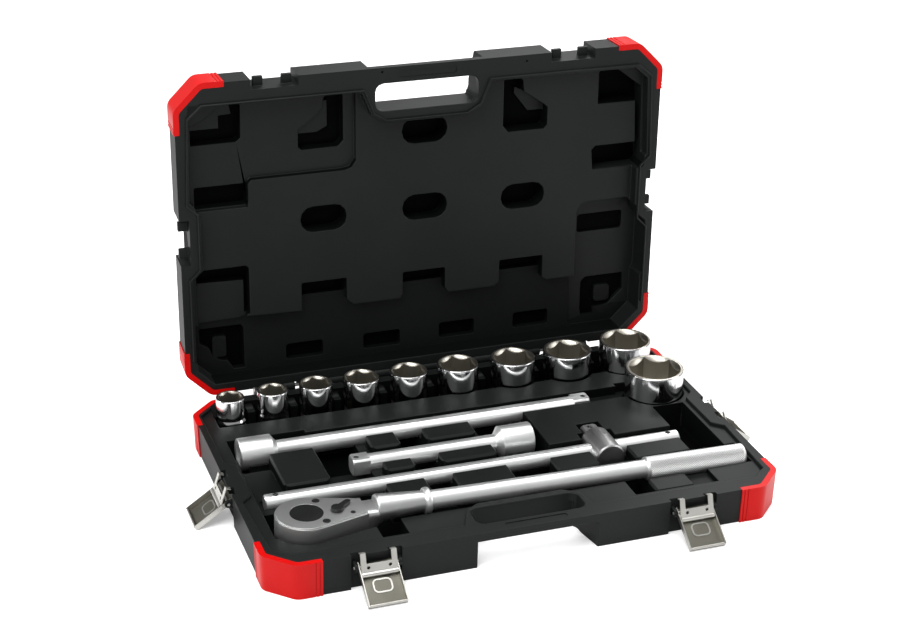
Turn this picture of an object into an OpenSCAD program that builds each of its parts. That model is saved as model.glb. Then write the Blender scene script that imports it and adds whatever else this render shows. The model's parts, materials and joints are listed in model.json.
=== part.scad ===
// Three-quarter inch drive socket set in a hinged blow-moulded case, lid open at a right angle.
// Frame: origin on the floor under the middle of the case, +X right, -Y towards the latches' side.

/* [Case] */
// Width of the case, left to right
case_w = 557; // [557:1:700]
// Depth of the case, front wall to rear wall
case_d = 361.4; // [361:0.2:450]
// Height of the base half
base_h = 39.5; // [39:0.5:50]
// Height of the lid half
lid_h = 35.3; // [35:0.1:46]
// Length of the cut at each vertical corner
corner_cut = 28; // [24:0.5:34]
// Rounding of the edges of those cuts
corner_r = 12; // [6:0.5:16]
// Skin of the blow-moulded halves
skin_t = 2.4; // [1.8:0.1:3]
// How far the walls lean in towards the floor and the top
wall_draft = 1.3; // [0:0.1:2]
// Depth of the tray's top below the rim
deck_drop = 4; // [3:0.5:5]

/* [Corner guards] */
// How far a guard stands out of the wall
guard_out = 1.3; // [0.8:0.1:2]
// Thickness of a guard
guard_t = 6.4; // [5:0.2:8]
// How far a guard runs along each wall past the corner cut
guard_run = 26; // [20:0.5:32]

/* [Hinge and handle] */
// Number of hinge knuckles
knuckle_n = 7; // [5:2:9]
// Length of one knuckle
knuckle_len = 46; // [36:1:48]
// Radius of a knuckle
knuckle_r = 5.5; // [5:0.1:7]
// Radius of the hinge pin
hinge_pin_r = 2; // [1.5:0.1:2.5]
// Width of the hand opening
handle_w = 118; // [110:1:130]
// Thickness of the grip bar, front to back
grip_t = 18; // [15:0.5:22]

/* [Latches] */
// Distance of a front latch from the middle
latch_x = 170; // [150:1:185]
// Place of the side latches, along the depth
latch_y = -4; // [-12:1:8]
// Width of a latch lever
lever_w = 40; // [39:0.5:44]
// Length of a latch lever
lever_len = 47.6; // [40:0.2:50]
// How far a hanging lever leans out, down from level
lever_hang = 34; // [28:1:36]
// Thickness of the latch plates
plate_t = 1; // [0.8:0.1:1.4]
// Radius of the latch pins
latch_pin_r = 1.5; // [1.2:0.1:1.8]

/* [Tools] */
// Side of the drive square
drive_sq = 19; // [17:0.5:20]
// Radius of an extension's shaft
shaft_r = 10; // [9:0.25:11]
// Radius of an extension's socket end
barrel_r = 18; // [17:0.25:19]
// Length of the long extension
long_len = 405; // [390:1:408]
// Length of the short extension
short_len = 204; // [196:1:206]
// Radius of the sliding T bar
tbar_r = 9; // [8:0.25:9.5]
// Length of the sliding T bar
tbar_len = 466; // [440:1:470]
// Radius of the ratchet's head
head_r = 32; // [29:0.5:33]
// Radius of the ratchet's tube
tube_r = 10; // [9:0.25:11]
// Radius of the knurled grip
grip_r = 12.5; // [11.5:0.25:13]
// Length of the ratchet from the drive's axis to the grip's end
ratchet_reach = 482.5; // [460:0.5:484]

/* [Clearances] */
// Gap under a tool that lies in its groove
seat_gap = 0.3; // [0.2:0.05:0.5]
// Gap round a socket in its pocket
pocket_gap = 1.5; // [1:0.1:2.5]
// Radial clearance of a pin or shaft that turns
run_gap = 0.05; // [0.02:0.01:0.1]
// Gap between a drive square and its square hole, on each side
square_gap = 0.25; // [0.15:0.05:0.4]

/* [Hidden] */
$fn = 48;
LATCHES = ["front_left", "front_right", "left", "right"];
SIZES = [22, 24, 27, 30, 32, 36, 38, 41, 46, 50];

half_w = case_w / 2;
half_d = case_d / 2;
case_top = base_h + lid_h;
deck_z = base_h - deck_drop;
floor_z = 2 * skin_t + 0.2;
overcut = 1;
eps = 0.02;

plastic = [0.16, 0.17, 0.17];
guard_red = [0.85, 0.08, 0.05];
chrome = [0.82, 0.83, 0.84];
satin = [0.74, 0.74, 0.73];
dark_steel = [0.22, 0.22, 0.23];
zinc = [0.72, 0.71, 0.68];

// ---------- Outlines and small helpers ----------

module span(x0, x1, y0, y1, z0, z1) translate([x0, y0, z0]) cube([x1 - x0, y1 - y0, z1 - z0]);

module rod_x(x0, x1, r, y = 0, z = 0) translate([x0, y, z]) rotate([0, 90, 0]) cylinder(r = r, h = x1 - x0);

module cone_x(x0, x1, r0, r1) translate([x0, 0, 0]) rotate([0, 90, 0])
    cylinder(r1 = r0, r2 = r1, h = x1 - x0);

// Rounded turn: points on an arc about c from angle a0 to a1
function arc(c, r, a0, a1, n = 3) =
    [for (i = [0:n]) c + r * [cos(a0 + (a1 - a0) * i / n), sin(a0 + (a1 - a0) * i / n)]];

// One corner of the case in the first quadrant, from the right wall to the rear wall, moved out by off
corner_set = corner_r * tan(22.5);
function corner(off) = concat(
    arc([half_w - corner_r, half_d - corner_cut - corner_set], corner_r + off, 0, 45),
    arc([half_w - corner_cut - corner_set, half_d - corner_r], corner_r + off, 45, 90));

// A rectangle with rounded corners, and a closed outline moved out by g
function tile(x0, x1, y0, y1, r) = concat(
    arc([x1 - r, y0 + r], r, -90, 0), arc([x1 - r, y1 - r], r, 0, 90),
    arc([x0 + r, y1 - r], r, 90, 180), arc([x0 + r, y0 + r], r, 180, 270));
function side_of(p, i) = let (d = p[(i + 1) % len(p)] - p[i]) [d[1], -d[0]] / norm(d);
function grow(p, g) = [for (i = [0:len(p) - 1])
    let (u = side_of(p, (i + len(p) - 1) % len(p)), v = side_of(p, i)) p[i] + (u + v) * g / (1 + u * v)];

function flip_x(p) = [for (i = [len(p) - 1:-1:0]) [-p[i][0], p[i][1]]];
function flip_y(p) = [for (i = [len(p) - 1:-1:0]) [p[i][0], -p[i][1]]];
function outline(off) =
    let (q = corner(off), r = flip_x(q)) concat(q, r, flip_y(r), flip_y(q));

// A half of the case: the wall leans in by the draft from the parting plane to the far face
module drafted(z_open, z_far, off) hull() {
    translate([0, 0, min(z_open, z_far - eps)]) linear_extrude(eps)
        polygon(outline(off - (z_open < z_far ? 0 : wall_draft)));
    translate([0, 0, max(z_open - eps, z_far - eps)]) linear_extrude(eps)
        polygon(outline(off - (z_open < z_far ? wall_draft : 0)));
}

// Line of the seal step: it bends in round the side latches and the hand opening
seal_side = 6.5;
seal_rear = 12.7;
seal_front = 20.7;
bulge_in = 11.5;
bulge_half = 31;
slot_back = 57;
function seal_side_pts(s, d) = let (x = half_w - seal_side - d, t = d / 2) [
    [s * x, latch_y + bulge_half + bulge_in + t], [s * (x - bulge_in), latch_y + bulge_half + t],
    [s * (x - bulge_in), latch_y - bulge_half - t], [s * x, latch_y - bulge_half - bulge_in - t]];
function seal_front_pts(d) = let (y = -half_d + seal_front + d, yb = -half_d + slot_back + d, t = d / 2) [
    [-handle_w / 2 - 12 - t, y], [-handle_w / 2 - 1 - t, yb - 9], [-handle_w / 2 + 13, yb],
    [handle_w / 2 - 13, yb], [handle_w / 2 + 1 + t, yb - 9], [handle_w / 2 + 12 + t, y]];
function seal(d) = let (
    x = half_w - seal_side - d, yr = half_d - seal_rear - d, yf = -half_d + seal_front + d,
    l = seal_side_pts(-1, d), r = seal_side_pts(1, d), k = 18 + d / 2) concat(
    [[-x, yr - k], l[0], l[1], l[2], l[3], [-x + 4, yf + 14], [-x + 20, yf]], seal_front_pts(d),
    [[x - 20, yf], [x - 4, yf + 14], r[3], r[2], r[1], r[0], [x, yr - k], [x - k, yr], [-x + k, yr]]);

// ---------- Where the tools lie ----------

long_y = 71;
long_z = 27;
long_x = -248;
short_y = 12.5;
short_z = 27;
short_x = -139;
tbar_x = -246;
tbar_y = -35;
tbar_z = 26;
slider_x = 131;
head_at = [-220.5, -107, 44.9];
ratchet_tilt = 1.107;
square_len = 19;
barrel_len = 40;
slider_r = 17;
slider_front = 23;
slider_back = 23;
slider_play = 2.6;

// The ratchet, measured from the drive's axis along the handle
cover_t = 1.6;
cover_z = 4.4;
housing_low = -20;
throat = 62;
throat_r = 15;
gear_r = 20.8;
gear_low = -17;
disc_r = 17;
post_r = 14;
lever_at = [31, -3];
lever_reach = 19;
lever_aim = 36;
shaft_pin_r = 3.5;
screw_at = [15, 20.5];
rivet_at = [45, -11];
neck_end = 122;
collar_r = 14;
collar_len = 7;
teeth = 36;
grip_len = 114;
head_floor = head_at[2] + housing_low - throat * sin(ratchet_tilt) - seat_gap;

// Sockets: size, middle along X, radius of the open end, radius of the drive end, top
SOCKETS = [
    [22, -237.5, 15.8, 17.6, 57.7], [24, -189.5, 17.2, 18.2, 59.7], [27, -139.9, 18.8, 17.4, 60.7],
    [30, -87.6, 20.4, 18.8, 61.2], [32, -31.7, 21.3, 19.4, 61.4], [36, 26.5, 23.7, 21.4, 62.6],
    [38, 92.7, 25.8, 23, 62.3], [41, 159.2, 28.1, 24.6, 62.9], [46, 231.1, 30, 26, 66.3],
    [50, 233.8, 33.3, 28.6, 65.5]];
socket_back = half_d - 14.1;
socket_z = floor_z + seat_gap;
function wide(s) = max(s[2], s[3]);
function socket_y(s) = s[0] == 50 ? 59.7 : socket_back - wide(s);

// ---------- Base ----------

// Islands with eased edges that stand in the tray: x from, x to, y from, y to
col_a = [-121, -77];
col_b = [-48, 15];
col_c = [73, 217];
ISLANDS = [
    [-221, -170, -22, 50], [col_a[0] + 10, col_a[1], 28, 58], [col_b[0], 9, 28, 56],
    [col_a[0] + 10, col_a[1], -23, -3], [col_b[0], col_b[1], -23, -1],
    [col_a[0], col_a[1], -80, -48], [col_b[0], col_b[1], -80, -48],
    [62, 111, -80, -48], [151, 216, -80, -48], [143, 187, -150, -122]];
// Parts of the deck between the wells
DECKS = [
    [col_c[0], 112, -23, 57], [112, col_c[1], -23, 57], [-170, 198, 84, 122], [-256, -170, 90, 122]];
// Low ledges and cradles: the same, with the height of their top
LEDGES = [
    [-256, -221, -55, 35, 24], [-170, col_a[0], -12, 20, 12], [col_a[0], col_a[1], -80, 90, 24],
    [col_b[0], col_b[1], -80, 90, 24], [col_c[0], col_c[1], -80, 90, 24], [-240, -214, 50, 90, 22],
    [34, 58, -12, 36, 20], [-40, 10, -121, -80, 33.5], [150, 210, -121, -80, 27],
    [187, 213, -146, -121, 30]];

// Middle of the gap between a socket of the rear row and the next one
function gap_x(i) = let (a = SOCKETS[i], b = SOCKETS[i + 1]) (a[1] + wide(a) + b[1] - wide(b)) / 2;
divider_w = 9;
divider_front = 148;

// An island: rounded upright corners, and a chamfer round its top on the tray's side
island_r = 6;
ease = 2.4;
module island(b, g) difference() {
    translate([0, 0, -overcut]) linear_extrude(deck_z - g + overcut)
        polygon(grow(tile(b[0], b[1], b[2], b[3], island_r), -g));
    if (g == 0) translate([(b[0] + b[1]) / 2, (b[2] + b[3]) / 2, deck_z - ease])
        for (a = [0:90:270]) rotate([0, 0, a])
            translate([(a % 180 == 0 ? b[0] - b[1] : b[2] - b[3]) / 2, 0, 0])
                rotate([0, -45, 0]) translate([-ease, -60, 0]) cube([6 * ease, 120, 4 * ease]);
}

module blocks(g) {
    for (i = [0:7])
        span(gap_x(i) - divider_w / 2 + g, gap_x(i) + divider_w / 2 - g,
            divider_front + g, half_d, -overcut, deck_z - g);
    for (b = DECKS) span(b[0] + g, b[1] - g, b[2] + g, b[3] - g, -overcut, deck_z - g);
    for (b = ISLANDS) island(b, g);
    for (b = LEDGES) span(b[0] + g, b[1] - g, b[2] + g, b[3] - g, -overcut, b[4] - g);
    translate([head_at[0], head_at[1], -overcut])
        cylinder(r = head_r + 1 - g, h = head_floor - g + overcut);
}

// Wells that are cut down to the tray's floor
WELLS = [
    [-256, 217, -121, 90], [217, 254, -81, 24], [210, 266, -122, -80], [-154, -127, -150, -121],
    [119, 213, -150, -121], [-256, 264, 122, 168]];

module wells(g) {
    for (w = WELLS) span(w[0] - g, w[1] + g, w[2] - g, w[3] + g, floor_z - g, base_h + overcut);
    for (s = SOCKETS)
        translate([s[1], socket_y(s), floor_z - g]) cylinder(r = wide(s) + pocket_gap + g, h = base_h);
    translate([head_at[0], head_at[1], floor_z - g]) cylinder(r = head_r + 3 + g, h = base_h);
}

// A groove that fits a round bar, open to the top; above the bar's axis it is wider by the flare
module groove(x0, x1, y, z, r, g, flare = 0) {
    rod_x(x0 - g, x1 + g, r + seat_gap + g, y, z);
    span(x0 - g, x1 + g, y - r - seat_gap - g, y + r + seat_gap + g, z, base_h + overcut);
    if (flare > 0) span(x0 - g, x1 + g, y - r - flare - g, y + r + flare + g, z + 2, base_h + overcut);
}

module socket_grooves(g) for (s = SOCKETS)
    translate([s[1], socket_y(s), floor_z - g]) cylinder(r = wide(s) + pocket_gap + g, h = base_h);

module grooves(g) {
    groove(long_x + barrel_len - 1, long_x + long_len - square_len + 1, long_y, long_z, shaft_r, g, 3);
    groove(long_x - 4, long_x + barrel_len + 4, long_y, long_z, barrel_r, g);
    groove(long_x + long_len - square_len - 4, long_x + long_len + 4,
        long_y, long_z, drive_sq / 2 + 1, g, 1);
    span(long_x + long_len - square_len - 4 - g, long_x + long_len + 4 + g,
        long_y - drive_sq / 2 - 1.5 - g, long_y + drive_sq / 2 + 1.5 + g,
        long_z - drive_sq / 2 - 1 - g, base_h + overcut);
    groove(short_x + square_len - 1, short_x + short_len - barrel_len, short_y, short_z, shaft_r, g, 4);
    span(short_x - 4 - g, short_x + square_len + 1 + g, short_y - drive_sq / 2 - 1.5 - g,
        short_y + drive_sq / 2 + 1.5 + g, short_z - drive_sq / 2 - 1 - g, base_h + overcut);
    groove(short_x + short_len - barrel_len - 8, short_x + short_len + 3, short_y, short_z, barrel_r, g);
    groove(tbar_x - 3, tbar_x + tbar_len + 3, tbar_y, tbar_z, tbar_r, g, 2.6);
    translate([slider_x, tbar_y + slider_back + 3 + g, tbar_z]) rotate([90, 0, 0])
        cylinder(r = slider_r + slider_play + g, h = slider_back + slider_front + 7 + 2 * g);
    span(slider_x - slider_r - slider_play - g, slider_x + slider_r + slider_play + g,
        tbar_y - slider_front - 4 - g, tbar_y + slider_back + 3 + g, tbar_z, base_h + overcut);
    span(slider_x - drive_sq / 2 - 3.5 - g, slider_x + drive_sq / 2 + 3.5 + g, tbar_y,
        tbar_y + slider_back + square_len + 4 + g, tbar_z - drive_sq / 2 - 2 - g, base_h + overcut);
    translate(head_at) rotate([0, ratchet_tilt, 0]) {
        groove(throat, neck_end + collar_len + 4, 0, 0, collar_r + 1, g);
        groove(neck_end, ratchet_reach - grip_len, 0, 0, tube_r, g);
        groove(ratchet_reach - grip_len - 6, ratchet_reach + 3, 0, 0, grip_r, g);
    }
    translate([head_at[0], head_at[1], head_floor - g]) linear_extrude(base_h)
        pear(head_r + 2 + g, throat + 20, throat_r + 2.5 + g);
    translate([head_at[0], head_at[1], floor_z - g]) cylinder(r = 15.5 + g, h = base_h);
}

// Everything that is open between the tray's top skin and the rim; g grows it by the skin
module tray_space(g) {
    translate([0, 0, deck_z - g]) linear_extrude(base_h) polygon(seal(1.2 - g));
    difference() {
        wells(g);
        blocks(g);
    }
    grooves(g);
    socket_grooves(g);
}

recess_w = 52;
recess_d = 5;
pivot_out = 3;
pivot_z = 27;
hook_arm = 9;
hook_len = 22;
ear_t = 3.4;
lever_gap = 0.6;

// Places a latch's own frame (X along the wall, -Y out, origin on the wall at the floor)
module latch_place(k) {
    if (k < 2) translate([k == 0 ? -latch_x : latch_x, -half_d, 0]) children();
    if (k == 2) translate([-half_w, latch_y, 0]) rotate([0, 0, -90]) children();
    if (k == 3) translate([half_w, latch_y, 0]) rotate([0, 0, 90]) children();
}

module each_latch() for (k = [0:3]) latch_place(k) children();

// Recess behind a latch: full height in both halves, deeper in the lid
module latch_recess(z0, z1, depth, g)
    span(-recess_w / 2 - g, recess_w / 2 + g, -6, depth + g, z0 - g, z1 + g);

block_half = 12;
module base_recess(g) difference() {
    latch_recess(-overcut, base_h + overcut, recess_d, g);
    span(-block_half + g, block_half - g, -g, recess_d + 3, pivot_z + 5 + g, base_h + 2 * overcut);
}

slot_d = 31;
slot_r = 9;
module hand_space(z_grip0, z_grip1, far, g) {
    // the slot behind the grip bar, right through the half
    translate([0, 0, -overcut]) linear_extrude(case_top + 2 * overcut)
        polygon(grow(tile(-handle_w / 2, handle_w / 2,
            -half_d + grip_t, -half_d + grip_t + slot_d, slot_r), g));
    // the hollow in front of and beside it, beyond the grip bar
    translate([0, 0, far < z_grip0 ? far - overcut : z_grip1 - g])
        linear_extrude(abs((far < z_grip0 ? z_grip0 - far : far - z_grip1)) + overcut + g)
            polygon([[-handle_w / 2 - 7 - g, -half_d - 5], [handle_w / 2 + 7 + g, -half_d - 5],
                [handle_w / 2 - 3 + g, -half_d + grip_t + slot_d + g],
                [-handle_w / 2 + 3 - g, -half_d + grip_t + slot_d + g]]);
}

// Shallow inset in the grip bar's face at the parting plane
inset_half = 33.5;
inset_d = 0.8;
module grip_inset(z, g) translate([0, 0, z - inset_d - g]) linear_extrude(2 * inset_d + 2 * g)
    polygon(grow(tile(-inset_half, inset_half, -half_d + 4.7, -half_d + 12.7, 3), g));

// Shallow panels in the far faces, with raised fields left standing
face_d = 1.2;
FIELDS = [[-222, -92, -96, 142], [-74, 74, -96, 142], [92, 222, -96, 142]];
module far_face(z, dir, g) translate([0, 0, dir > 0 ? z - face_d - g : z - overcut])
    linear_extrude(face_d + overcut + g) difference() {
        polygon(grow(tile(-238, 238, -112, 158, 16), g));
        for (f = FIELDS) polygon(grow(tile(f[0], f[1], f[2], f[3], 12), -g));
    }

grip_z = 30;
module base_cuts(g) {
    hand_space(grip_z, base_h, 0, g);
    each_latch() base_recess(g);
    far_face(0, -1, g);
    grip_inset(base_h, g);
    knuckle_cuts(1, g);
    translate([0, 0, -overcut]) linear_extrude(case_top) corner_sector(g) polygon(outline(5));
}

hinge_y = half_d + 3.7;
hinge_z = base_h + 3.15;
knuckle_pitch = 59.5;
knuckle_gap = 0.7;

// Knuckles of one half: which = 0 gives the base's, 1 the lid's
module at_knuckles(which) for (i = [0:knuckle_n - 1]) if (i % 2 == which)
    translate([(i - (knuckle_n - 1) / 2) * knuckle_pitch, hinge_y, hinge_z]) children();

module knuckle_cuts(which, g) at_knuckles(which)
    rod_x(-knuckle_len / 2 - 2 - g, knuckle_len / 2 + 2 + g, knuckle_r + knuckle_gap + g);

module knuckle(web_lo, web_hi, bore) difference() {
    union() {
        rod_x(-knuckle_len / 2, knuckle_len / 2, knuckle_r);
        span(-knuckle_len / 2, knuckle_len / 2, -10, web_lo < 0 ? knuckle_r : 3, web_lo, web_hi);
        if (web_lo < 0) span(-knuckle_len / 2, knuckle_len / 2, -3, knuckle_r, web_lo, 0);
    }
    rod_x(-knuckle_len, knuckle_len, bore);
}

guard_end = corner_cut + guard_run;

// Corner regions where the guards sit: the wall outside the guard's inner face
module corner_sector(g) difference() {
    intersection() {
        children();
        for (sx = [-1, 1]) for (sy = [-1, 1])
            translate([sx * (half_w - guard_end - g + 50), sy * (half_d - guard_end - g + 50)])
                square(100, center = true);
    }
    polygon(outline(guard_out - guard_t - g));
}

module upright(z_open, z_far) translate([0, 0, min(z_open, z_far) - overcut])
    linear_extrude(abs(z_far - z_open) + 2 * overcut) children();

module guards(z_open, z_far) difference() {
    intersection() {
        drafted(z_open, z_far, guard_out);
        upright(z_open, z_far) corner_sector(0) polygon(outline(5));
    }
    difference() {
        upright(z_open, z_far) rib_lines();
        drafted(z_open, z_far, guard_out - rib_d);
    }
}

// Upright grooves near both ends of each guard
rib_d = 0.7;
rib_w = 1.3;
module rib_lines() for (sx = [-1, 1]) for (sy = [-1, 1]) for (at = [3, 7]) {
    translate([sx * (half_w - guard_end + at), sy * half_d]) square([rib_w, 10], center = true);
    translate([sx * half_w, sy * (half_d - guard_end + at)]) square([10, rib_w], center = true);
}

ear_r = 4;
ear_mid = lever_w / 2 + lever_gap + ear_t / 2;
module ears() for (s = [-1, 1]) translate([s * ear_mid, -pivot_out, pivot_z]) difference() {
    union() {
        rod_x(-ear_t / 2, ear_t / 2, ear_r);
        span(-ear_t / 2, ear_t / 2, 0, pivot_out + recess_d + skin_t / 2, -ear_r, ear_r);
    }
    rod_x(-ear_t, ear_t, latch_pin_r);
}

module base_shell() color(plastic) {
    difference() {
        union() {
            drafted(base_h, 0, 0);
            at_knuckles(0) knuckle(-12, base_h - hinge_z, hinge_pin_r + run_gap);
        }
        tray_space(0);
        base_cuts(0);
        knuckle_bore();
        difference() {
            translate([0, 0, skin_t]) linear_extrude(base_h - 2 * skin_t)
                polygon(outline(-skin_t - wall_draft));
            tray_space(skin_t);
            base_cuts(skin_t);
        }
    }
    each_latch() ears();
}

module knuckle_bore() rod_x(-knuckle_pitch * knuckle_n / 2, knuckle_pitch * knuckle_n / 2,
    hinge_pin_r + run_gap, hinge_y, hinge_z);

module guards_base() color(guard_red) guards(base_h, 0);

module hinge_pin() color(zinc) rod_x(-knuckle_pitch * (knuckle_n - 1) / 2 - knuckle_len / 2,
    knuckle_pitch * (knuckle_n - 1) / 2 + knuckle_len / 2, hinge_pin_r, hinge_y, hinge_z);

base_pin_half = lever_w / 2 + lever_gap + ear_t + 0.6;
module latch_base_pins() color(zinc) each_latch()
    rod_x(-base_pin_half, base_pin_half, latch_pin_r, -pivot_out, pivot_z);

// ---------- Lid ----------

panel_z = base_h + 13.5;
mid_z = base_h + 20.5;
band_z = base_h + 24.7;
tall_z = base_h + 28;
shelf_z = base_h + 26.5;
deep_z = case_top - skin_t - 1;
band_y = 99;
band_back = socket_back + 2;

// Recesses in the lid's inner panel: depth reached and outline, as the closed lid lies
PANEL = [
    // over the ratchet's head and neck
    [mid_z, [[-264, -158], [-77.5, -158], [-77.5, -74], [-83, -66], [-91.5, -63.8], [-195, -63.8],
        [-199.4, -60], [-200.2, -33], [-258, -33], [-264, -52]]],
    [deep_z, [[-258.5, -106.5], [-258.5, -126.9], [-242.8, -134.3], [-230.3, -144.2], [-219, -152],
        [-207, -152],
        [-203.7, -147], [-204.5, -110.5], [-209, -106.5]]],
    [deep_z, [[-140.5, -92.8], [-140.5, -113.3], [-128.2, -120.9], [-117.7, -129.5], [-112.6, -135],
        [-111, -147], [-105.4, -152], [-95.6, -152], [-90, -147.4], [-90, -96], [-96, -90], [-137, -89.7]]],
    [deep_z, tile(-257, -200, -58.4, -34, 2)],
    // beside the hand opening and over the finger wells
    [deep_z, [[94, -96], [94, -149], [99, -153], [111, -153], [116.1, -147], [117.5, -134], [142, -117],
        [146.5, -113], [146.5, -92], [143, -88.5], [100, -88.5]]],
    [deep_z, [[208.3, -111], [208, -148], [213, -153], [223, -152.7], [232, -148.6], [248, -136.4],
        [261, -127], [264, -37.5], [259.5, -32.4], [205.2, -32.2], [203, -56], [207.3, -60.5],
        [257, -60.5], [254.5, -111]]],
    // over the row of sockets, with notches up into the panel
    [band_z, [[-264, band_back - 18], [-264, band_y + 2], [-213, band_y + 1], [-205, band_y - 2],
        [-141.6, band_y], [-141.6, 80], [-89.3, 80], [-89.3, 92], [-81, band_y], [-26, band_y], [-23, 94],
        [-23, 80], [27.5, 80], [27.5, 93], [32, band_y], [88.5, band_y], [93.7, 94], [93.7, 80], [147, 80],
        [147, 94.5],
        [152.5, band_y], [188, band_y], [266, band_y], [266, band_back - 21.6], [244.4, band_back], [-246, band_back]]],
    [deep_z, tile(-141.6, -89.3, 65, 84, 2)],
    [deep_z, tile(-23, 27.5, 67, 84, 2)],
    [deep_z, tile(93.7, 147, 67, 84, 2)],
    [deep_z, tile(-158, -115, 143, 162, 3)], [deep_z, tile(-66.5, -23, 143, 162, 3)],
    [deep_z, tile(25, 68, 142, 161, 3)], [deep_z, tile(117, 160.5, 142, 161, 3)],
    [deep_z, [[-257, 128.5], [-257, 111], [-210, 111], [-207, 116], [-207, 164.5], [-219, 164.5], [-226, 153],
        [-234, 151.5], [-243, 145], [-247, 135]]],
    // over the long extension's end
    [mid_z, tile(-260, -204.5, 52, 102, 4)],
    [deep_z, [[-260, 53], [-260, 39], [-257, 36], [-204, 36], [-201, 39], [-201, 94], [-206, 94], [-206, 55]]],
    // over the two largest sockets
    [tall_z, [[188, 106], [188, 17], [193, 9], [202, 6.7], [249, 6.7], [256, 13], [260, 25], [269, 33],
        [269, 98], [264, 106]]],
    [deep_z, tile(195, 251, 28, 50, 3)],
    [tall_z, [[187, 163], [187, 102], [266, 102], [266, band_back - 21.6], [244.4, band_back],
        [193, band_back]]],
    [deep_z, [[203.4, 150], [203.4, 114], [208.5, 109], [256, 109], [257, 130], [247.7, 139], [239, 147],
        [220, 150], [220, 158], [205, 158]]]];
// Steps that stand in the pockets, up to the depth given
SHELVES = [
    [shelf_z, [[-262, -121], [-262, -135], [-242, -140], [-216, -158], [-212, -136], [-226, -135],
        [-226, -121]]],
    [shelf_z, [[-144, -106], [-144, -120], [-112, -142], [-106, -142], [-106, -112], [-118, -106]]],
    [band_z, tile(-243, -227, 122, 148, 3)], [tall_z, tile(220, 241, 121, 143, 5)],
    [tall_z, [[111, -128], [111, -136], [150, -118], [150, -106], [128, -106]]]];
OVALS = [[1.5, -101.3], [-115, -9.9], [2.4, -10.5], [119.8, -9.9]];
oval_w = 52;
oval_d = 29.6;

// An outline cut into the lid from the rim down to a depth, grown by the skin
module pocket(depth, p, g) translate([0, 0, base_h]) linear_extrude(depth - base_h + g) polygon(grow(p, g));

module lid_space(g) {
    translate([0, 0, base_h - overcut]) linear_extrude(panel_z - base_h + overcut + g) polygon(seal(6 - g));
    difference() {
        for (p = PANEL) pocket(p[0], p[1], g);
        for (p = SHELVES) translate([0, 0, p[0] + g]) linear_extrude(lid_h) polygon(grow(p[1], -g));
    }
    for (o = OVALS) translate([o[0], o[1], 0])
        pocket(deep_z, tile(-oval_w / 2, oval_w / 2, -oval_d / 2, oval_d / 2, oval_d * 0.46), g);
}

keeper_z = base_h + 16;
// The seal ridge on the lid, which stops short of the sockets
ridge_h = 3;
ridge_end = 30;
lid_recess_d = 11;
keeper_h = 5.5;
keeper_w = 11;
module keepers(g) for (s = [-1, 1]) translate([s * (hook_w - prong_w) / 2, 0, 0])
    span(-keeper_w / 2 + g, keeper_w / 2 - g, g, lid_recess_d + 3, keeper_z - keeper_h + g, keeper_z - g);

HOLES = [[-51.5, -176], [114.9, -173.5]];
module lid_cuts(g) {
    hand_space(base_h, base_h + 9.5, case_top, g);
    grip_inset(base_h, g);
    far_face(case_top, 1, g);
    for (h = HOLES) translate([h[0], h[1], base_h - overcut]) cylinder(r = 1.3 + g, h = 9 + g);
    each_latch() difference() {
        latch_recess(base_h - overcut, case_top + overcut, lid_recess_d, g);
        keepers(g);
    }
    knuckle_cuts(0, g);
    translate([0, 0, base_h - overcut]) linear_extrude(case_top) corner_sector(g) polygon(outline(5));
}

module lid_closed() difference() {
    union() {
        drafted(base_h, case_top, 0);
        at_knuckles(1) knuckle(0, 9.4, hinge_pin_r + run_gap);
        translate([0, 0, base_h - ridge_h]) linear_extrude(ridge_h + overcut) difference() {
            polygon(seal(1.6));
            polygon(seal(3.6));
            translate([-case_w / 2, socket_back - ridge_end]) square([case_w, case_d]);
        }
    }
    lid_space(0);
    lid_cuts(0);
    knuckle_bore();
    difference() {
        translate([0, 0, base_h + skin_t]) linear_extrude(lid_h - 2 * skin_t)
            polygon(outline(-skin_t - wall_draft));
        lid_space(skin_t);
        lid_cuts(skin_t);
    }
}

// Swings the closed lid up about the hinge
module lid_open() translate([0, hinge_y, hinge_z]) rotate([-90, 0, 0])
    translate([0, -hinge_y, -hinge_z]) children();

module lid_shell() color(plastic) lid_open() lid_closed();

module guards_lid() color(guard_red) lid_open() guards(base_h, case_top);

// ---------- Latches, drawn closed about their pivot and swung open ----------

swing = 90 + lever_hang;
hook_lean = 18.6;
lever_tail = 5;

module lever_rest(k) latch_place(k) translate([0, -pivot_out, pivot_z]) rotate([swing, 0, 0]) children();

lever_deep = 5.6;
lever_face = -3.6;
bead_w = 20;
bead_h = 15;
lever_tip = lever_len - lever_tail;
bead_t = 1.6;
module latch_lever(k) color(zinc) lever_rest(k) difference() {
    union() {
        span(-lever_w / 2, lever_w / 2, lever_face, lever_face + plate_t, -lever_tail, lever_tip);
        for (s = [-1, 1]) translate([s * (lever_w - plate_t) / 2, 0, 0])
            span(-plate_t / 2, plate_t / 2, lever_face, lever_face + lever_deep, -lever_tail, lever_tip);
        span(-lever_w / 2, lever_w / 2, lever_face, 0.5, lever_tip - plate_t, lever_tip);
        rod_x(-lever_w / 2, lever_w / 2, plate_t, 0.5, lever_tip - plate_t);
        translate([0, lever_face + plate_t + 0.5, hook_arm + 12]) rotate([90, 0, 0]) linear_extrude(0.7)
            difference() {
                polygon(tile(-bead_w / 2, bead_w / 2, -bead_h / 2, bead_h / 2, 5));
                polygon(tile(-bead_w / 2 + bead_t, bead_w / 2 - bead_t,
                    -bead_h / 2 + bead_t, bead_h / 2 - bead_t, 5 - bead_t));
            }
    }
    rod_x(-lever_w, lever_w, latch_pin_r + run_gap);
    rod_x(-lever_w, lever_w, latch_pin_r, 0, hook_arm);
}

module latch_pin(k) color(zinc) lever_rest(k) rod_x(-lever_w / 2, lever_w / 2, latch_pin_r, 0, hook_arm);

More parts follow.
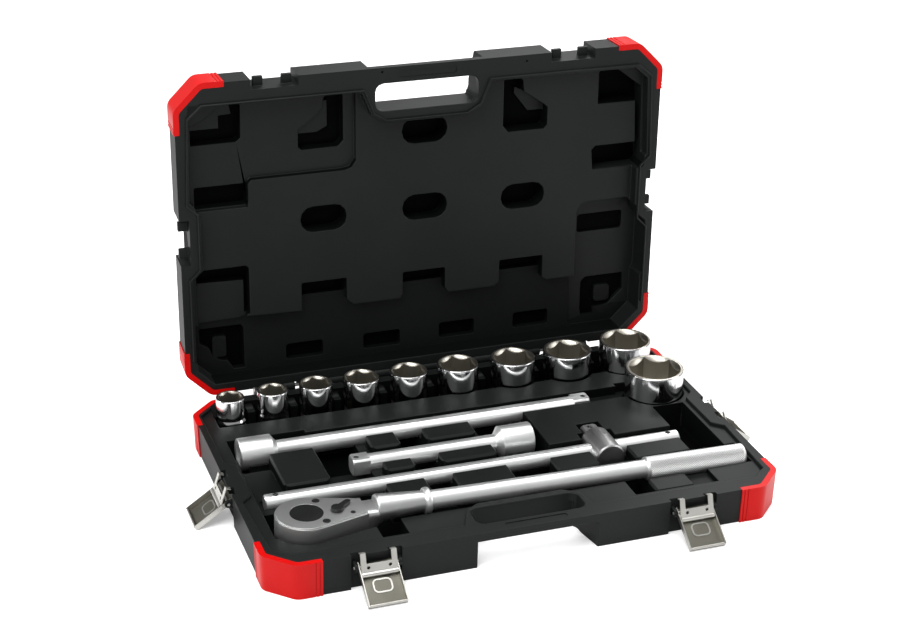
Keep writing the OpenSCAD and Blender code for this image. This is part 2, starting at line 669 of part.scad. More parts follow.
hook_w = 37;
prong_w = 5.6;
hook_hole_x = 11;
module latch_hook(k) color(zinc) lever_rest(k) translate([0, 0, hook_arm])
    rotate([-swing - hook_lean, 0, 0]) difference() {
        union() {
            rod_x(-hook_w / 2, hook_w / 2, 2.5);
            span(-hook_w / 2, hook_w / 2, -plate_t / 2, plate_t / 2, 0, 11);
            for (s = [-1, 1]) translate([s * (hook_w - prong_w) / 2, 0, 0]) {
                span(-prong_w / 2, prong_w / 2, -plate_t / 2, plate_t / 2, 0, hook_len);
                span(-prong_w / 2, prong_w / 2, -plate_t / 2, 5, hook_len - plate_t, hook_len);
            }
        }
        rod_x(-lever_w, lever_w, latch_pin_r + run_gap);
        for (s = [-1, 1]) translate([s * hook_hole_x, 3, 7]) rotate([90, 0, 0]) cylinder(r = 1.7, h = 6);
    }

// ---------- Sockets ----------

// Width across flats is the size itself; the drive end below it holds the square hole
module socket(s) {
    low = s[4] - socket_z;
    hex_r = (s[0] + 0.4) / 2 / cos(30);
    step = low * (s[3] > s[2] ? 0.54 : 0.42);
    color(chrome) translate([s[1], socket_y(s), socket_z]) difference() {
        union() {
            cylinder(r1 = s[3] - 1.2, r2 = s[3], h = 1.2);
            translate([0, 0, 1.2]) cylinder(r = s[3], h = step - 4.2);
            translate([0, 0, step - 3]) cylinder(r1 = s[3], r2 = s[2], h = 3);
            translate([0, 0, step]) cylinder(r = s[2], h = low - step - 1);
            translate([0, 0, low - 1]) cylinder(r1 = s[2], r2 = s[2] - 1, h = 1);
        }
        translate([0, 0, low * 0.5]) rotate([0, 0, 30]) cylinder(r = hex_r, h = low, $fn = 6);
        translate([0, 0, low - hex_r * 0.2])
            cylinder(r1 = hex_r * cos(30), r2 = hex_r * 1.02, h = hex_r * 0.2 + 0.01);
        translate([-drive_sq / 2 - square_gap, -drive_sq / 2 - square_gap, -overcut])
            cube([drive_sq + 2 * square_gap, drive_sq + 2 * square_gap, low * 0.5 + overcut + eps]);
    }
}

// ---------- Drive squares and balls ----------

ball_r = 3;
ball_out = 1;
ball_back = 5.5;

// A drive square that points along +X from the origin, its ball's pocket in the +Z face
module drive_end(len) difference() {
    intersection() {
        span(0, len, -drive_sq / 2, drive_sq / 2, -drive_sq / 2, drive_sq / 2);
        union() {
            rod_x(-overcut, len - 1.5, drive_sq * 0.64);
            cone_x(len - 1.5, len, drive_sq * 0.64, drive_sq * 0.64 - 1.5);
        }
    }
    translate([len - ball_back, 0, drive_sq / 2]) ball_pocket();
}

// The pocket goes 1.5 mm deeper than the ball, which leaves room for its spring
module ball_pocket() translate([0, 0, ball_out - 2 * ball_r - 1.5]) cylinder(r = ball_r + run_gap, h = 20);

module drive_ball(len) translate([len - ball_back, 0, drive_sq / 2 + ball_out - ball_r]) sphere(r = ball_r);

// Socket end of an extension, from the origin along +X, open at the origin
module barrel() difference() {
    union() {
        cone_x(0, 1, barrel_r - 1, barrel_r);
        rod_x(1, barrel_len - 4, barrel_r);
        cone_x(barrel_len - 4, barrel_len + 2, barrel_r, shaft_r);
    }
    span(-overcut, barrel_len * 0.6, -drive_sq / 2 - square_gap, drive_sq / 2 + square_gap,
        -drive_sq / 2 - square_gap, drive_sq / 2 + square_gap);
}

module extension(len) {
    barrel();
    rod_x(barrel_len - 2, len - square_len + 0.5, shaft_r);
    translate([len - square_len, 0, 0]) drive_end(square_len);
}

module at_long() translate([long_x, long_y, long_z]) children();
module at_short() translate([short_x + short_len, short_y, short_z]) mirror([1, 0, 0]) children();

module extension_long() color(satin) at_long() extension(long_len);
module extension_long_ball() color(dark_steel) at_long()
    translate([long_len - square_len, 0, 0]) drive_ball(square_len);
module extension_short() color(satin) at_short() extension(short_len);
module extension_short_ball() color(dark_steel) at_short()
    translate([short_len - square_len, 0, 0]) drive_ball(square_len);

// ---------- Sliding T bar ----------

tbar_ball_in = 12;
tbar_ease = 1.2;
module at_tbar_ball(e) translate([e == 0 ? tbar_ball_in : tbar_len - tbar_ball_in, 0, tbar_r]) children();

module tbar() color(satin) translate([tbar_x, tbar_y, tbar_z]) difference() {
    union() {
        cone_x(0, tbar_ease, tbar_r - tbar_ease, tbar_r);
        rod_x(tbar_ease, tbar_len - tbar_ease, tbar_r);
        cone_x(tbar_len - tbar_ease, tbar_len, tbar_r, tbar_r - tbar_ease);
    }
    for (e = [0, 1]) at_tbar_ball(e) ball_pocket();
}
module tbar_ball(e) color(chrome) translate([tbar_x, tbar_y, tbar_z]) at_tbar_ball(e)
    translate([0, 0, ball_out - ball_r]) sphere(r = ball_r);

// The head's own axis runs along Y, with its square towards the rear
module at_slider() translate([slider_x, tbar_y, tbar_z]) rotate([0, 0, 90]) children();
module slider_head() color(dark_steel) at_slider() difference() {
    union() {
        cone_x(-slider_front, -slider_front + 1.5, slider_r - 1.5, slider_r);
        rod_x(-slider_front + 1.5, slider_back - 2, slider_r);
        cone_x(slider_back - 2, slider_back, slider_r, slider_r - 3);
        translate([slider_back - 0.5, 0, 0]) drive_end(square_len + 0.5);
    }
    rotate([90, 0, 0]) cylinder(r = tbar_r + run_gap, h = 80, center = true);
}
module slider_ball() color(dark_steel) at_slider()
    translate([slider_back - 0.5, 0, 0]) drive_ball(square_len + 0.5);

// ---------- Ratchet, drawn with its handle along +X and its square down ----------

module at_ratchet() translate(head_at) rotate([0, ratchet_tilt, 0]) children();

// Outline of the head: a round end drawn in to the throat by two flat flanks
module pear(r, d, rd) {
    a = acos((r - rd) / d);
    polygon(concat(arc([0, 0], r, a, 360 - a, 30), arc([d, 0], rd, -a, a, 10)));
}

module ratchet_housing() color(satin) at_ratchet() difference() {
    translate([0, 0, housing_low]) linear_extrude(cover_z - housing_low) pear(head_r, throat, throat_r);
    translate([0, 0, gear_low - 0.4]) cylinder(r = gear_r + 0.4, h = 40);
    translate([0, 0, -40]) cylinder(r = post_r + run_gap, h = 40);
    translate([lever_at[0], lever_at[1], -12.2]) cylinder(r = 10, h = 40);
    translate([lever_at[0], lever_at[1], -17]) cylinder(r = shaft_pin_r + run_gap, h = 40);
    translate([rivet_at[0], rivet_at[1], -4]) cylinder(r = 1.6, h = 40);
    span(throat - 2, throat + 40, -30, 30, housing_low - 1, cover_z + 1);
}

neck_r = 14.5;
module ratchet_neck() color(satin) at_ratchet() {
    span(throat - 2, throat + 18, -neck_r, neck_r, housing_low, cover_z);
    cone_x(throat + 9, neck_end, neck_r, 11);
}

module cover_outline() intersection() {
    pear(head_r - 1.5, throat - 4, throat_r - 2);
    translate([-60, -60]) square([60 + throat - 3, 120]);
}

module ratchet_cover() color(satin) at_ratchet() difference() {
    translate([0, 0, cover_z]) linear_extrude(cover_t) cover_outline();
    cylinder(r = disc_r + run_gap, h = 40);
    translate([lever_at[0], lever_at[1], 0]) cylinder(r = shaft_pin_r + 2 + run_gap, h = 40);
    for (s = [-1, 1]) translate([screw_at[0], s * screw_at[1], 0]) cylinder(r = 4, h = 40);
    translate([rivet_at[0], rivet_at[1], 0]) cylinder(r = 2.6, h = 40);
}

module ratchet_screws() color(dark_steel) at_ratchet() for (s = [-1, 1])
    translate([screw_at[0], s * screw_at[1], cover_z]) difference() {
        cylinder(r = 4, h = cover_t + 0.5);
        translate([0, 0, 1]) cylinder(r = 1.8, h = 3, $fn = 6);
    }

module ratchet_rivet() color(dark_steel) at_ratchet() translate([rivet_at[0], rivet_at[1], 0]) {
    translate([0, 0, -4]) cylinder(r = 1.6, h = cover_z + 4);
    translate([0, 0, cover_z]) cylinder(r = 2.6, h = cover_t + 0.4);
}

module ratchet_collar() color(satin) at_ratchet() difference() {
    rod_x(neck_end, neck_end + collar_len, collar_r);
    rod_x(neck_end - 1, neck_end + collar_len + 1, tube_r);
}

module ratchet_tube() color(satin) at_ratchet() rod_x(neck_end, ratchet_reach - 0.8, tube_r);

module ratchet_grip() color(satin) at_ratchet() difference() {
    union() {
        rod_x(ratchet_reach - grip_len, ratchet_reach - 1.5, grip_r);
        cone_x(ratchet_reach - 1.5, ratchet_reach, grip_r, grip_r - 1.5);
    }
    rod_x(ratchet_reach - grip_len - 1, ratchet_reach - 0.8, tube_r);
}

module gear_outline() polygon([for (i = [0:2 * teeth - 1])
    (i % 2 == 0 ? gear_r : gear_r - 1.4) * [cos(i * 180 / teeth), sin(i * 180 / teeth)]]);

module ratchet_gear() color(dark_steel) at_ratchet() {
    translate([0, 0, gear_low]) linear_extrude(cover_z - gear_low - 0.5) gear_outline();
    cylinder(r = disc_r, h = cover_z + cover_t);
    translate([0, 0, housing_low]) cylinder(r = post_r, h = 10);
    translate([0, 0, housing_low]) rotate([0, 90, 0]) drive_end(square_len);
}
module ratchet_ball() color(chrome) at_ratchet()
    translate([0, 0, housing_low]) rotate([0, 90, 0]) drive_ball(square_len);

module reverser_lever() color(dark_steel) at_ratchet() translate([lever_at[0], lever_at[1], 0]) {
    translate([0, 0, cover_z]) cylinder(r = shaft_pin_r + 2, h = cover_t + 0.8);
    translate([0, 0, cover_z + cover_t + 0.8]) {
        cylinder(r = 6.4, h = 3);
        rotate([0, 0, lever_aim]) {
            span(0, lever_reach - 3, -3.2, 3.2, 0, 3);
            translate([lever_reach - 3, 0, 0]) cylinder(r = 3.2, h = 3);
        }
    }
}

module reverser_pawl() color(dark_steel) at_ratchet() translate([lever_at[0], lever_at[1], 0]) {
    translate([0, 0, -12]) cylinder(r = 6.5, h = 10);
    translate([0, 0, -16.5]) cylinder(r = shaft_pin_r, h = 16.5 + cover_z);
    translate([0, 0, -12]) rotate([0, 0, 180]) span(0, 9.2, -2, 2, 0, 10);
}

// ---------- Build ----------

base_shell();
guards_base();
hinge_pin();
latch_base_pins();
lid_shell();
guards_lid();
for (s = SOCKETS) socket(s);
ratchet_housing();
ratchet_neck();
ratchet_cover();
ratchet_screws();
ratchet_rivet();
ratchet_collar();
ratchet_tube();
ratchet_grip();
ratchet_gear();
ratchet_ball();
reverser_lever();
reverser_pawl();
extension_long();
extension_long_ball();
extension_short();
extension_short_ball();
tbar();
tbar_ball(0);  // tbar_ball_left
tbar_ball(1);  // tbar_ball_right
slider_head();
slider_ball();
for (k = [0:3]) latch_lever(k);
for (k = [0:3]) latch_pin(k);
for (k = [0:3]) latch_hook(k);
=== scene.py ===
# Socket wrench set in its open case: finishes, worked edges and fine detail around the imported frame.
import json
import math
import bmesh
import bpy
from mathutils import Matrix, Vector
from mathutils.kdtree import KDTree


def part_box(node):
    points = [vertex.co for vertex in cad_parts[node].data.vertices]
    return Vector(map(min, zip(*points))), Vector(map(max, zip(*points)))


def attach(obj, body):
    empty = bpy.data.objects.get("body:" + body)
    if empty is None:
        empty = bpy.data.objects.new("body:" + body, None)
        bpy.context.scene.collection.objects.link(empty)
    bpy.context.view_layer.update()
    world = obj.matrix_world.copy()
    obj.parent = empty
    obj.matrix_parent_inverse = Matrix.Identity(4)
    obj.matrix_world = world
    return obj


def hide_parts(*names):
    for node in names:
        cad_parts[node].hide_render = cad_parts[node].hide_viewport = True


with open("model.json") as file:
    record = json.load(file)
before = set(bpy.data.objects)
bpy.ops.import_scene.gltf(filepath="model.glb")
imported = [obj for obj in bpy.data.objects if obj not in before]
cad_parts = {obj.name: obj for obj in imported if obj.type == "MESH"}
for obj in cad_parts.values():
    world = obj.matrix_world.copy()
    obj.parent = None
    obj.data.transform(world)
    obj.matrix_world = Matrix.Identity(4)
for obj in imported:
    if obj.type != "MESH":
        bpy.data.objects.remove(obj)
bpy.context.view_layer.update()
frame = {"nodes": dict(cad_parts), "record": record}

mm = 0.001
bodyOf = {n: b for b, nodes in frame["record"]["behaviour"]["bodies"].items() for n in nodes}


def plug(tree, socket, value):
    if isinstance(value, Wire):
        tree.links.new(value.socket, socket)
    else:
        socket.default_value = value


# Shader maths written as plain expressions
class Wire:
    def __init__(self, tree, socket):
        self.tree = tree
        self.socket = socket

    def calc(self, operation, first, second):
        step = self.tree.nodes.new("ShaderNodeMath")
        step.operation = operation
        plug(self.tree, step.inputs[0], first)
        plug(self.tree, step.inputs[1], second)
        return Wire(self.tree, step.outputs[0])

    def __add__(self, other): return self.calc("ADD", self, other)
    def __radd__(self, other): return self.calc("ADD", other, self)
    def __sub__(self, other): return self.calc("SUBTRACT", self, other)
    def __rsub__(self, other): return self.calc("SUBTRACT", other, self)
    def __mul__(self, other): return self.calc("MULTIPLY", self, other)
    def __rmul__(self, other): return self.calc("MULTIPLY", other, self)
    def __lt__(self, other): return self.calc("LESS_THAN", self, other)


# The nodes of one material, or of the world
class Finish:
    names = {"colour": "Base Color", "roughness": "Roughness", "metal": "Metallic", "normal": "Normal",
             "specular": "Specular IOR Level", "coat": "Coat Weight", "coatRough": "Coat Roughness",
             "coatIor": "Coat IOR", "glow": "Emission Color", "glowStrength": "Emission Strength",
             "sky": "Color", "skyStrength": "Strength"}

    def __init__(self, name, world=False):
        self.made = (bpy.data.worlds if world else bpy.data.materials).new(name)
        self.made.use_nodes = True
        self.tree = self.made.node_tree
        self.shader = self.tree.nodes["Background" if world else "Principled BSDF"]

    def add(self, kind, settings, inputs, out=0):
        node = self.tree.nodes.new(kind)
        for key, value in settings.items():
            setattr(node, key, value)
        for key, value in inputs.items():
            plug(self.tree, node.inputs[key], value)
        return Wire(self.tree, node.outputs[out])

    def place(self, scale=(1, 1, 1), centre=(0, 0, 0)):
        where = self.add("ShaderNodeTexCoord", {}, {}, out=3)  # Object coordinates
        return self.add("ShaderNodeMapping", {"vector_type": "POINT"},
                        {"Vector": where, "Scale": scale, "Location": centre})

    def noise(self, where, scale, detail):
        return self.add("ShaderNodeTexNoise", {},
                        {"Vector": where, "Scale": scale, "Detail": detail, "Roughness": 0.55})

    def carried(self, name):  # a number that the mesh carries
        return self.add("ShaderNodeAttribute", {"attribute_name": name}, {}, out=2)

    def cameraSees(self):  # Is Camera Ray
        return self.add("ShaderNodeLightPath", {}, {})

    def blend(self, factor, first, second):
        return self.add("ShaderNodeMix", {"data_type": "RGBA"}, {0: factor, 6: first, 7: second}, out=2)

    def bump(self, height, depth, strength):
        return self.add("ShaderNodeBump", {}, {"Height": height, "Distance": depth, "Strength": strength})

    def feed(self, **values):
        for key, value in values.items():
            plug(self.tree, self.shader.inputs[self.names[key]], value)
        return self.made


# In each look a noise is its scale and detail, a bump its depth and strength, and rough the even part of the
# roughness and what each noise adds to it

# Moulded plastic; the shells' faces carry a painted shade, how far down a pocket they lie, which paints them
# towards the near-black deep colour and takes away the coat's reflection where shade falls
# deep is the painted shade colour of the pockets; dark and light are the plastic's own tone, mixed at random
plasticLook = {"deep": (0.0012, 0.0014, 0.0014, 1), "dark": (0.0055, 0.0064, 0.0062, 1),
               "light": (0.0100, 0.0114, 0.0110, 1), "grain": (900, 2), "drift": (14, 4),
               "rough": (0.5, 0.14, 0.08), "bump": (0.00006, 0.55), "sheen": 0.96, "sheenLostToPaintedShade": 0.86,
               "coatRough": 0.46, "coatIor": 1.25}


def makeCasePlastic():
    look = plasticLook
    f = Finish("casePlastic")
    grain = f.noise(f.place(), *look["grain"])
    drift = f.noise(f.place(), *look["drift"])
    pocket = f.carried("pocket")
    even, byDrift, byGrain = look["rough"]
    # Painted shade: faces down in the pockets are painted near-black and lose most of the coat's reflection
    return f.feed(colour=f.blend(pocket, f.blend(drift, look["dark"], look["light"]), look["deep"]),
                  roughness=even + byDrift * drift + byGrain * grain, specular=0.0,
                  coat=look["sheen"] - look["sheenLostToPaintedShade"] * pocket, coatRough=look["coatRough"],
                  coatIor=look["coatIor"], normal=f.bump(grain, *look["bump"]))


guardLook = {"deep": (0.43, 0.0012, 0.0010, 1), "bright": (0.57, 0.0022, 0.0016, 1), "drift": (22, 3),
             "grain": (700, 2), "rough": (0.3, 0.14), "bump": (0.00004, 0.35), "specular": 0.15}


def makeGuardRed():
    look = guardLook
    f = Finish("guardRed")
    drift = f.noise(f.place(), *look["drift"])
    grain = f.noise(f.place(), *look["grain"])
    even, byDrift = look["rough"]
    return f.feed(colour=f.blend(drift, look["deep"], look["bright"]), roughness=even + byDrift * drift,
                  specular=look["specular"], normal=f.bump(grain, *look["bump"]))


# Zinc plate, brushed along X and clouded by stains
zincLook = {"low": (0.53, 0.52, 0.48, 1), "high": (0.68, 0.67, 0.64, 1), "stretch": (1, 9, 9), "brush": (300, 3),
            "stain": (60, 4), "rough": (0.27, 0.14, 0.08), "bump": (0.00002, 0.4)}


def brushedZinc(f):
    look = zincLook
    brush = f.noise(f.place(scale=look["stretch"]), *look["brush"])
    stain = f.noise(f.place(), *look["stain"])
    return brush, stain, f.bump(brush, *look["bump"])


def makeZinc():
    look = zincLook
    f = Finish("zincPlate")
    brush, stain, normal = brushedZinc(f)
    even, byBrush, byStain = look["rough"]
    return f.feed(colour=f.blend(stain, look["low"], look["high"]), metal=1.0,
                  roughness=even + byBrush * brush + byStain * stain, normal=normal)


# The levers' turned-up rims, which the faces carry, are painted much brighter than the plates, a painted
# highlight, and are also smoother
leverLook = {"low": (0.100, 0.097, 0.079, 1), "high": (0.165, 0.160, 0.134, 1), "rim": (0.50, 0.49, 0.46, 1),
             "rough": (0.40, 0.12, 0.08), "rimPolish": 0.18}


def makeLeverZinc():
    look = leverLook
    f = Finish("leverZinc")
    brush, stain, normal = brushedZinc(f)
    rim = f.carried("rim")
    even, byBrush, byStain = look["rough"]
    # Painted highlight: the rim faces get the bright rim colour
    return f.feed(colour=f.blend(rim, f.blend(stain, look["low"], look["high"]), look["rim"]), metal=1.0,
                  roughness=even + byBrush * brush + byStain * stain - look["rimPolish"] * rim, normal=normal)


# Pearly satin chrome, a little darker on the ratchet's head
satinLook = {"satinChrome": {"low": (0.74, 0.75, 0.745, 1), "high": (0.84, 0.85, 0.845, 1), "metal": 0.93},
             "headChrome": {"low": (0.56, 0.565, 0.56, 1), "high": (0.66, 0.67, 0.665, 1), "metal": 1.0},
             "stretch": (6, 1, 1), "brush": (420, 3), "pearl": (1500, 2), "cloud": (18, 3),
             "rough": (0.33, 0.08, 0.06), "bump": (0.00002, 0.45)}


def makeSatinChrome(name):
    look = satinLook
    tone = look[name]
    f = Finish(name)
    brush = f.noise(f.place(scale=look["stretch"]), *look["brush"])
    pearl = f.noise(f.place(), *look["pearl"])
    cloud = f.noise(f.place(), *look["cloud"])
    even, byBrush, byCloud = look["rough"]
    return f.feed(colour=f.blend(cloud, tone["low"], tone["high"]), metal=tone["metal"],
                  roughness=even + byBrush * brush + byCloud * cloud, normal=f.bump(pearl, *look["bump"]))


steelLook = {"greySteel": {"low": (0.30, 0.30, 0.30, 1), "high": (0.42, 0.42, 0.42, 1), "metal": 1.0,
                           "fleck": (420, 4), "cloud": (50, 3), "rough": (0.34, 0.14), "bump": (0.00002, 0.4)},
             "darkSteel": {"low": (0.024, 0.024, 0.025, 1), "high": (0.052, 0.053, 0.053, 1), "metal": 0.85,
                           "fleck": (260, 4), "cloud": (40, 3), "rough": (0.32, 0.16), "bump": (0.00003, 0.4)}}


def makeSteel(name):
    look = steelLook[name]
    f = Finish(name)
    fleck = f.noise(f.place(), *look["fleck"])
    cloud = f.noise(f.place(), *look["cloud"])
    even, byFleck = look["rough"]
    return f.feed(colour=f.blend(cloud, look["low"], look["high"]), metal=look["metal"],
                  roughness=even + byFleck * fleck, normal=f.bump(fleck, *look["bump"]))


# Sockets are polished outside; the bore is rougher and darker, a tan-grey
socketLook = {"low": (0.62, 0.62, 0.625, 1), "high": (0.74, 0.74, 0.75, 1), "boreLow": (0.33, 0.31, 0.27, 1),
              "boreHigh": (0.47, 0.45, 0.40, 1), "smear": (55, 3), "smearStretch": (1, 1, 0.35),
              "fine": (500, 2), "fineStretch": (1, 1, 0.2), "rough": (0.08, 0.06, 0.03, 0.22),
              "bump": (0.00001, 0.25)}


def makeSocketChrome(name, centre, bore):
    look = socketLook
    f = Finish(name)
    parts = f.add("ShaderNodeSeparateXYZ", {}, {"Vector": f.place(centre=(-centre[0], -centre[1], 0))})
    x, y = (Wire(f.tree, socket) for socket in parts.socket.node.outputs[:2])
    inside = (x * x + y * y) < (bore * bore)
    smear = f.noise(f.place(scale=look["smearStretch"]), *look["smear"])
    fine = f.noise(f.place(scale=look["fineStretch"]), *look["fine"])
    shell = f.blend(smear, look["low"], look["high"])
    boreColour = f.blend(smear, look["boreLow"], look["boreHigh"])
    even, bySmear, byFine, byBore = look["rough"]
    return f.feed(colour=f.blend(inside, shell, boreColour), metal=1.0,
                  roughness=even + bySmear * smear + byFine * fine + byBore * inside,
                  normal=f.bump(fine, *look["bump"]))


# The grip's knurl valleys are painted darker, a painted shade in the grooves, and are rougher
knurlLook = {"low": (0.84, 0.85, 0.845, 1), "high": (0.92, 0.93, 0.925, 1), "cut": (0.36, 0.36, 0.357, 1),
             "cloud": (40, 3), "metal": 0.95, "rough": (0.34, 0.1, 0.16)}


def makeKnurled():
    look = knurlLook
    f = Finish("knurledChrome")
    cut = f.carried("valley")
    cloud = f.noise(f.place(), *look["cloud"])
    even, byCloud, byCut = look["rough"]
    return f.feed(colour=f.blend(cut, f.blend(cloud, look["low"], look["high"]), look["cut"]),
                  metal=look["metal"], roughness=even + byCloud * cloud + byCut * cut)


casePlastic = makeCasePlastic()
guardRed = makeGuardRed()
zincPlate = makeZinc()
leverZinc = makeLeverZinc()
satinChrome = makeSatinChrome("satinChrome")
headChrome = makeSatinChrome("headChrome")
darkSteel = makeSteel("darkSteel")
greySteel = makeSteel("greySteel")
knurledChrome = makeKnurled()
print("finishes made")


# Turns a finished bmesh into the piece that stands for its node; edges past the angle sharp stay sharp
def settle(b, name, material, node, sharp):
    mesh = bpy.data.meshes.new(name)
    b.to_mesh(mesh)
    b.free()
    mesh.materials.append(material)
    mesh.shade_smooth()
    mesh.set_sharp_from_angle(angle=math.radians(sharp))
    piece = bpy.data.objects.new(name, mesh)
    bpy.context.scene.collection.objects.link(piece)
    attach(piece, bodyOf[node])
    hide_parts(node)
    return piece


# Worked edges, angles in degrees: step and reach are how finely and how far around an edge room is looked for,
# both in bevel widths, and seam is how near the rim a shell has no fillets, because the halves meet there
edgeWork = {"merge": 0.002 * mm, "flatten": 0.6, "angle": 28, "smooth": 35, "step": 1.5, "reach": 2.1,
            "seam": 4 * mm, "shares": (0.5, 1), "evenOut": 90}


# Sharp edges with nothing but their own neighbours within reach of a bevel of the width given
def roomyEdges(b, width):
    reach = edgeWork["reach"] * width
    sharp = [e for e in b.edges if e.is_manifold and e.calc_face_angle(0) > math.radians(edgeWork["angle"])]
    along = []
    for e in sharp:
        start, end = (v.co for v in e.verts)
        count = max(1, int(e.calc_length() / (edgeWork["step"] * width)))
        along += [(start.lerp(end, (i + 0.5) / count), e) for i in range(count)]
    tree = KDTree(len(along))
    for i, (point, e) in enumerate(along):
        tree.insert(point, i)
    tree.balance()
    crowded = set()
    for point, e in along:
        if e in crowded:
            continue
        for found, i, gap in tree.find_range(point, reach):
            other = along[i][1]
            if other is not e and not set(other.verts) & set(e.verts):
                crowded.update((e, other))
    return [e for e in sharp if e not in crowded
            and all(k.calc_length() > reach for v in e.verts for k in v.link_edges)]


# Where the pockets lie in each shell: their depth runs along the axis down, in the direction sign
pockets = {"base_shell": {"down": 2, "sign": -1, "side": 1, "from": -158 * mm, "to": 168 * mm,
                          "slot": (-165 * mm, -124 * mm), "wall": -34 * mm, "ledge": -31 * mm,
                          "floor": -12 * mm, "skin": -2.6 * mm, "rim": 39.5 * mm},
           "lid_shell": {"down": 1, "sign": 1, "side": 2, "from": 56 * mm, "to": 388 * mm,
                         "slot": (350 * mm, 392 * mm), "wall": 197 * mm, "ledge": 205 * mm,
                         "floor": 210.5 * mm, "skin": 216 * mm, "rim": 181.25 * mm}}
pocketReach = {"half": 269.5 * mm, "slotHalf": 64 * mm, "ledgeTo": 130 * mm, "farFacing": 0.5, "wallFacing": 0.7,
               "wallShade": 0.75, "ledgeShade": 0.4}


# The painted shade of a face of a shell, 0 to 1, set by how far down a pocket it lies, where shade falls
def pocketShade(shell, face):
    reach = pocketReach
    centre = face.calc_center_median()
    along = centre[shell["side"]]
    low, high = shell["slot"]
    if abs(centre.x) > reach["half"] or not shell["from"] < along < shell["to"]:
        return 0
    if abs(centre.x) < reach["slotHalf"] and low < along < high:
        return 0
    depth = centre[shell["down"]] * shell["sign"]
    facing = face.normal[shell["down"]] * shell["sign"]
    if depth > shell["skin"] or facing > reach["farFacing"]:  # the far side
        return 0
    if abs(facing) < reach["wallFacing"]:
        return reach["wallShade"] if depth > shell["wall"] else 0
    if depth > shell["floor"]:
        return 1
    return reach["ledgeShade"] if depth > shell["ledge"] and along < reach["ledgeTo"] else 0


# A shell's faces get their painted pocket shade, and its edges a weight where there is room to round them
def markShell(b, shell, width):
    shade = b.faces.layers.float.new("pocket")
    for face in b.faces:
        face[shade] = pocketShade(shell, face)
    weight = b.edges.layers.float.new("bevel_weight_edge")
    for share in edgeWork["shares"]:
        for e in roomyEdges(b, width * share):
            height = sum(v.co[shell["down"]] for v in e.verts) / 2
            if e.is_convex or abs(height - shell["rim"]) > edgeWork["seam"]:
                e[weight] = share


# A lever's rim, which gets the painted highlight, is every face that is small or doesn't lie along the largest
# one
rimSizes = {"plate": 100 * mm * mm, "along": 0.9}


def markRimHighlight(b):
    rim = b.faces.layers.float.new("rim")
    across = max(b.faces, key=lambda face: face.calc_area()).normal
    for face in b.faces:
        onPlate = abs(face.normal.dot(across)) > rimSizes["along"] and face.calc_area() > rimSizes["plate"]
        face[rim] = 0 if onPlate else 1


# A merged copy of a node with its sharp edges rounded, shown in its place
def workEdges(node, material, width, segments=2, lever=False):
    shell = pockets.get(node)
    b = bmesh.new()
    b.from_mesh(frame["nodes"][node].data)
    bmesh.ops.remove_doubles(b, verts=b.verts, dist=edgeWork["merge"])
    bmesh.ops.dissolve_limit(b, angle_limit=math.radians(edgeWork["flatten"]), verts=b.verts, edges=b.edges)
    if shell:
        markShell(b, shell, width)
    if lever:
        markRimHighlight(b)
    piece = settle(b, node + "_worked", material, node, sharp=edgeWork["smooth"])
    edge = piece.modifiers.new("edge", "BEVEL")
    edge.width = width
    edge.segments = segments
    edge.limit_method = "WEIGHT" if shell else "ANGLE"
    edge.angle_limit = math.radians(edgeWork["angle"])
    edge.use_clamp_overlap = not shell
    edge.harden_normals = not shell
    if shell:
        flat = piece.modifiers.new("flat", "WEIGHTED_NORMAL")
        flat.keep_sharp = True
        flat.weight = edgeWork["evenOut"]


def dress(node, material):
    for slot in frame["nodes"][node].material_slots:
        slot.material = material


for node in ("base_shell", "lid_shell"):
    workEdges(node, casePlastic, width=0.9 * mm)
for node in ("guards_base", "guards_lid"):
    workEdges(node, guardRed, width=0.7 * mm)
for node in ("hinge_pin", "latch_base_pins"):
    dress(node, zincPlate)
for latch in ("front_left", "front_right", "left", "right"):
    workEdges("latch_lever_" + latch, leverZinc, width=0.35 * mm, lever=True)
    workEdges("latch_hook_" + latch, zincPlate, width=0.3 * mm)
    dress("latch_pin_" + latch, zincPlate)
for node in ("ratchet_tube", "extension_long", "extension_short", "tbar"):
    workEdges(node, satinChrome, width=0.6 * mm)
workEdges("ratchet_cover", headChrome, width=0.6 * mm)
workEdges("ratchet_housing", headChrome, width=2.4 * mm, segments=4)
workEdges("slider_head", greySteel, width=0.5 * mm)
for node in ("ratchet_screws", "ratchet_rivet", "ratchet_gear", "reverser_lever"):
    workEdges(node, darkSteel, width=0.4 * mm)
for node in ("reverser_pawl", "extension_long_ball", "extension_short_ball", "slider_ball", "ratchet_ball",
             "tbar_ball_left", "tbar_ball_right"):
    dress(node, darkSteel)
print("edges worked")


# A closed outline spun about Z; outlineAt then gives each row's radius and height at each turn
def spinPiece(name, outlineAt, steps, where, material, node):
    full = 2 * math.pi
    columns = [outlineAt(full * k / steps) for k in range(steps)]
    b = bmesh.new()
    row = b.verts.layers.int.new("row")
    outline = [b.verts.new((r, 0, z)) for r, z in columns[0]]
    for i, v in enumerate(outline):
        v[row] = i
        b.edges.new((outline[i - 1], v))
    bmesh.ops.spin(b, geom=b.verts[:] + b.edges[:], cent=(0, 0, 0), axis=(0, 0, 1), angle=full, steps=steps,
                   use_merge=True)
    for v in b.verts:
        k = round(math.atan2(v.co.y, v.co.x) / full * steps) % steps
        turn = full * k / steps
        r, z = columns[k][v[row]]
        v.co = (r * math.cos(turn), r * math.sin(turn), z)
    b.verts.layers.int.remove(row)
    bmesh.ops.remove_doubles(b, verts=b.verts, dist=0.0001 * mm)
    bmesh.ops.recalc_face_normals(b, faces=b.faces)
    b.transform(where)
    settle(b, name, material, node, sharp=32)


